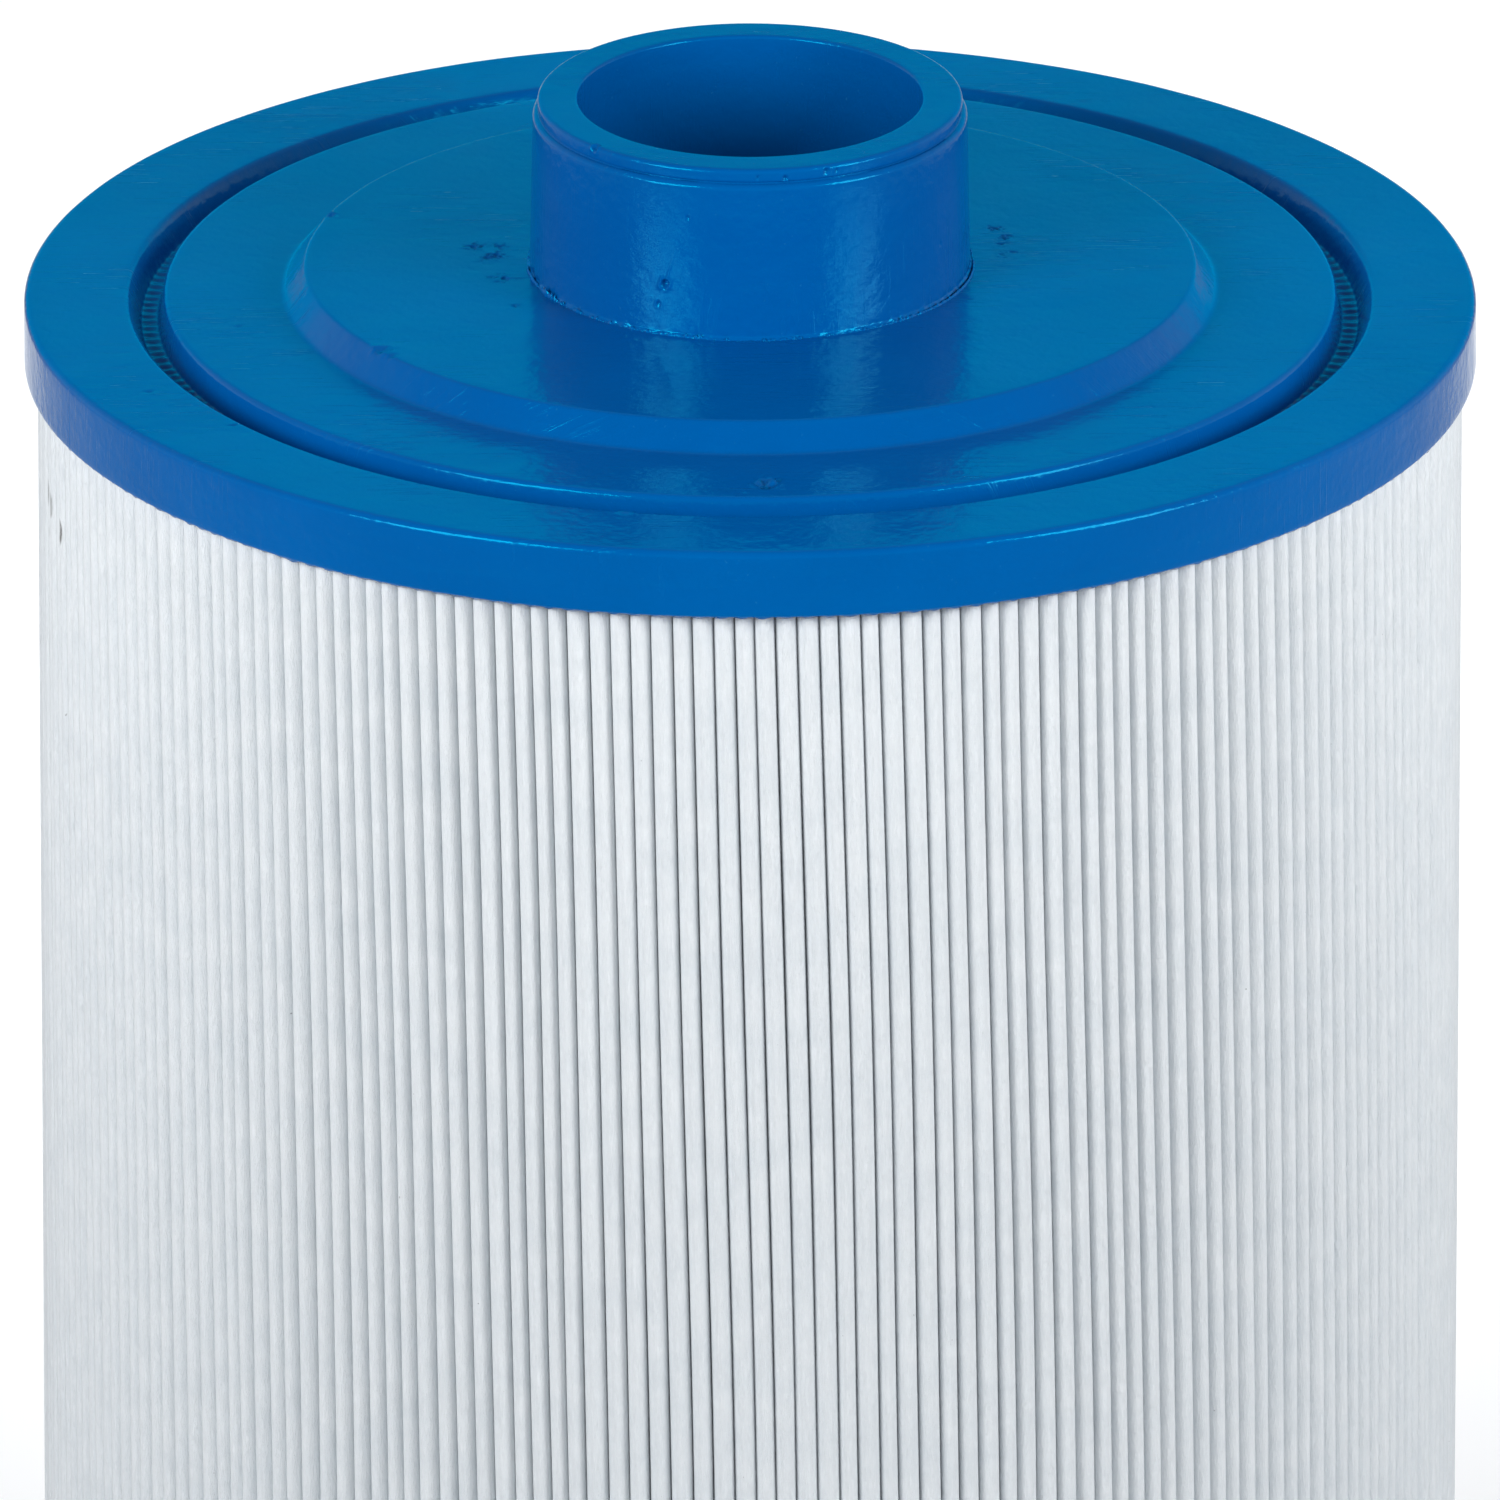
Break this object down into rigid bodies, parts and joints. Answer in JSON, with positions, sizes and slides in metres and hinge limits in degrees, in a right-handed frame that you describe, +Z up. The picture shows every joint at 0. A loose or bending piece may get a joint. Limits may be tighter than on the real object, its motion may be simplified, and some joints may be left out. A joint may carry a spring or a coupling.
{
  "type": "filter cartridge",
  "caption": "Pleated water filter cartridge: a folded sheet around a drilled core tube, potted in two cast blue end caps, the top one with a hollow spigot.",
  "frame": {"origin": "centre of the bottom ring face, which the cartridge stands on", "axes": "+Z up along the cartridge's axis, towards the spigot"},
  "size_m": [0.2143, 0.2142, 0.343],
  "materials": {
    "cap_polyurethane": "gloss",
    "filter_sheet": "matte",
    "seam_adhesive": "satin",
    "core_plastic": "satin"
  },
  "bodies": {
    "root": {"top_end_cap": "cap_polyurethane", "top_cap_spigot": "cap_polyurethane", "bottom_end_cap": "cap_polyurethane", "pleated_media": "filter_sheet", "media_seam": "seam_adhesive", "core_tube": "core_plastic"}
  },
  "joints": []
}
